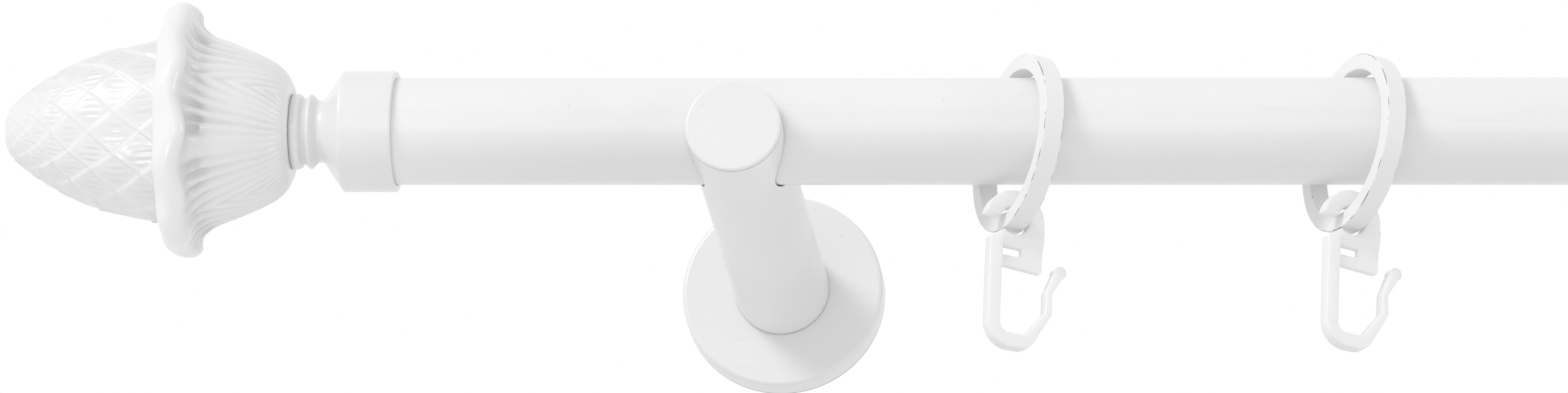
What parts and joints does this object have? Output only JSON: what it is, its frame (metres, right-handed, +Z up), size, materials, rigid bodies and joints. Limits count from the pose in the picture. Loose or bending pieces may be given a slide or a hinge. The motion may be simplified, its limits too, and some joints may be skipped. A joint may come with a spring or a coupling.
{
  "type": "curtain rod with brackets",
  "caption": "White round curtain rod resting in open saddle wall brackets, with pine-cone finials in leaf cups and flat band rings that carry plastic curtain hooks.",
  "frame": {"origin": "centre of the left bracket's wall face", "axes": "+X along the rod to the right as seen from the room, +Y into the wall, +Z up"},
  "size_m": [0.9298, 0.1038, 0.0669],
  "materials": {
    "white_paint": "satin gloss white powder coat",
    "white_cast": "gloss white lacquer on moulded resin",
    "ring_paint": "white paint, worn dark along the edges",
    "milky_plastic": "milky translucent moulding",
    "zinc_steel": "zinc plated"
  },
  "bodies": {
    "wall_brackets": {"left_wall_plate": "zinc_steel", "left_wall_stud": "zinc_steel", "left_rosette": "white_paint", "left_arm": "white_paint", "right_wall_plate": "zinc_steel", "right_wall_stud": "zinc_steel", "right_rosette": "white_paint", "right_arm": "white_paint"},
    "rod": {"rod_tube": "white_paint", "left_cone": "white_cast", "left_cup": "white_cast", "left_sleeve": "white_paint", "left_tie_stud": "zinc_steel", "left_grub_screw": "zinc_steel", "right_cone": "white_cast", "right_cup": "white_cast", "right_sleeve": "white_paint", "right_tie_stud": "zinc_steel", "right_grub_screw": "zinc_steel"},
    "ring_1": {"ring_1": "ring_paint"},
    "hook_1": {"hook_1": "milky_plastic"},
    "ring_2": {"ring_2": "ring_paint"},
    "hook_2": {"hook_2": "milky_plastic"},
    "ring_3": {"ring_3": "ring_paint"},
    "hook_3": {"hook_3": "milky_plastic"},
    "ring_4": {"ring_4": "ring_paint"},
    "hook_4": {"hook_4": "milky_plastic"},
    "ring_5": {"ring_5": "ring_paint"},
    "hook_5": {"hook_5": "milky_plastic"},
    "ring_6": {"ring_6": "ring_paint"},
    "hook_6": {"hook_6": "milky_plastic"},
    "ring_7": {"ring_7": "ring_paint"},
    "hook_7": {"hook_7": "milky_plastic"},
    "ring_8": {"ring_8": "ring_paint"},
    "hook_8": {"hook_8": "milky_plastic"}
  },
  "joints": [
    {"name": "rod_lift", "type": "slide", "parent": "wall_brackets", "child": "rod", "axis": [0, 0, 1], "range_m": [0, 0.025]},
    {"name": "ring_1_slide", "type": "slide", "parent": "rod", "child": "ring_1", "axis": [1, 0, 0], "range_m": [-0.024, 0.018]},
    {"name": "hook_1_swing", "type": "hinge", "parent": "ring_1", "child": "hook_1", "pos_m": [0.05153, -0.08026, -0.01389], "axis": [-0.4772, 0.8788, 0], "range_deg": [-45, 45]},
    {"name": "ring_2_slide", "type": "slide", "parent": "rod", "child": "ring_2", "axis": [1, 0, 0], "range_m": [-0.018, 0.018]},
    {"name": "hook_2_swing", "type": "hinge", "parent": "ring_2", "child": "hook_2", "pos_m": [0.11434, -0.08029, -0.01389], "axis": [-0.5299, 0.848, 0], "range_deg": [-45, 45]},
    {"name": "ring_3_slide", "type": "slide", "parent": "rod", "child": "ring_3", "axis": [1, 0, 0], "range_m": [-0.018, 0.018]},
    {"name": "hook_3_swing", "type": "hinge", "parent": "ring_3", "child": "hook_3", "pos_m": [0.17713, -0.08027, -0.01389], "axis": [-0.5, 0.866, 0], "range_deg": [-45, 45]},
    {"name": "ring_4_slide", "type": "slide", "parent": "rod", "child": "ring_4", "axis": [1, 0, 0], "range_m": [-0.018, 0.06]},
    {"name": "hook_4_swing", "type": "hinge", "parent": "ring_4", "child": "hook_4", "pos_m": [0.23994, -0.08028, -0.01389], "axis": [-0.515, 0.8572, 0], "range_deg": [-45, 45]},
    {"name": "ring_5_slide", "type": "slide", "parent": "rod", "child": "ring_5", "axis": [1, 0, 0], "range_m": [-0.06, 0.018]},
    {"name": "hook_5_swing", "type": "hinge", "parent": "ring_5", "child": "hook_5", "pos_m": [0.41013, -0.08027, -0.01389], "axis": [-0.4924, 0.8704, 0], "range_deg": [-45, 45]},
    {"name": "ring_6_slide", "type": "slide", "parent": "rod", "child": "ring_6", "axis": [1, 0, 0], "range_m": [-0.018, 0.018]},
    {"name": "hook_6_swing", "type": "hinge", "parent": "ring_6", "child": "hook_6", "pos_m": [0.47294, -0.08028, -0.01389], "axis": [-0.5225, 0.8526, 0], "range_deg": [-45, 45]},
    {"name": "ring_7_slide", "type": "slide", "parent": "rod", "child": "ring_7", "axis": [1, 0, 0], "range_m": [-0.018, 0.018]},
    {"name": "hook_7_swing", "type": "hinge", "parent": "ring_7", "child": "hook_7", "pos_m": [0.53573, -0.08026, -0.01389], "axis": [-0.4772, 0.8788, 0], "range_deg": [-45, 45]},
    {"name": "ring_8_slide", "type": "slide", "parent": "rod", "child": "ring_8", "axis": [1, 0, 0], "range_m": [-0.018, 0.024]},
    {"name": "hook_8_swing", "type": "hinge", "parent": "ring_8", "child": "hook_8", "pos_m": [0.59853, -0.08027, -0.01389], "axis": [-0.5075, 0.8616, 0], "range_deg": [-45, 45]}
  ]
}
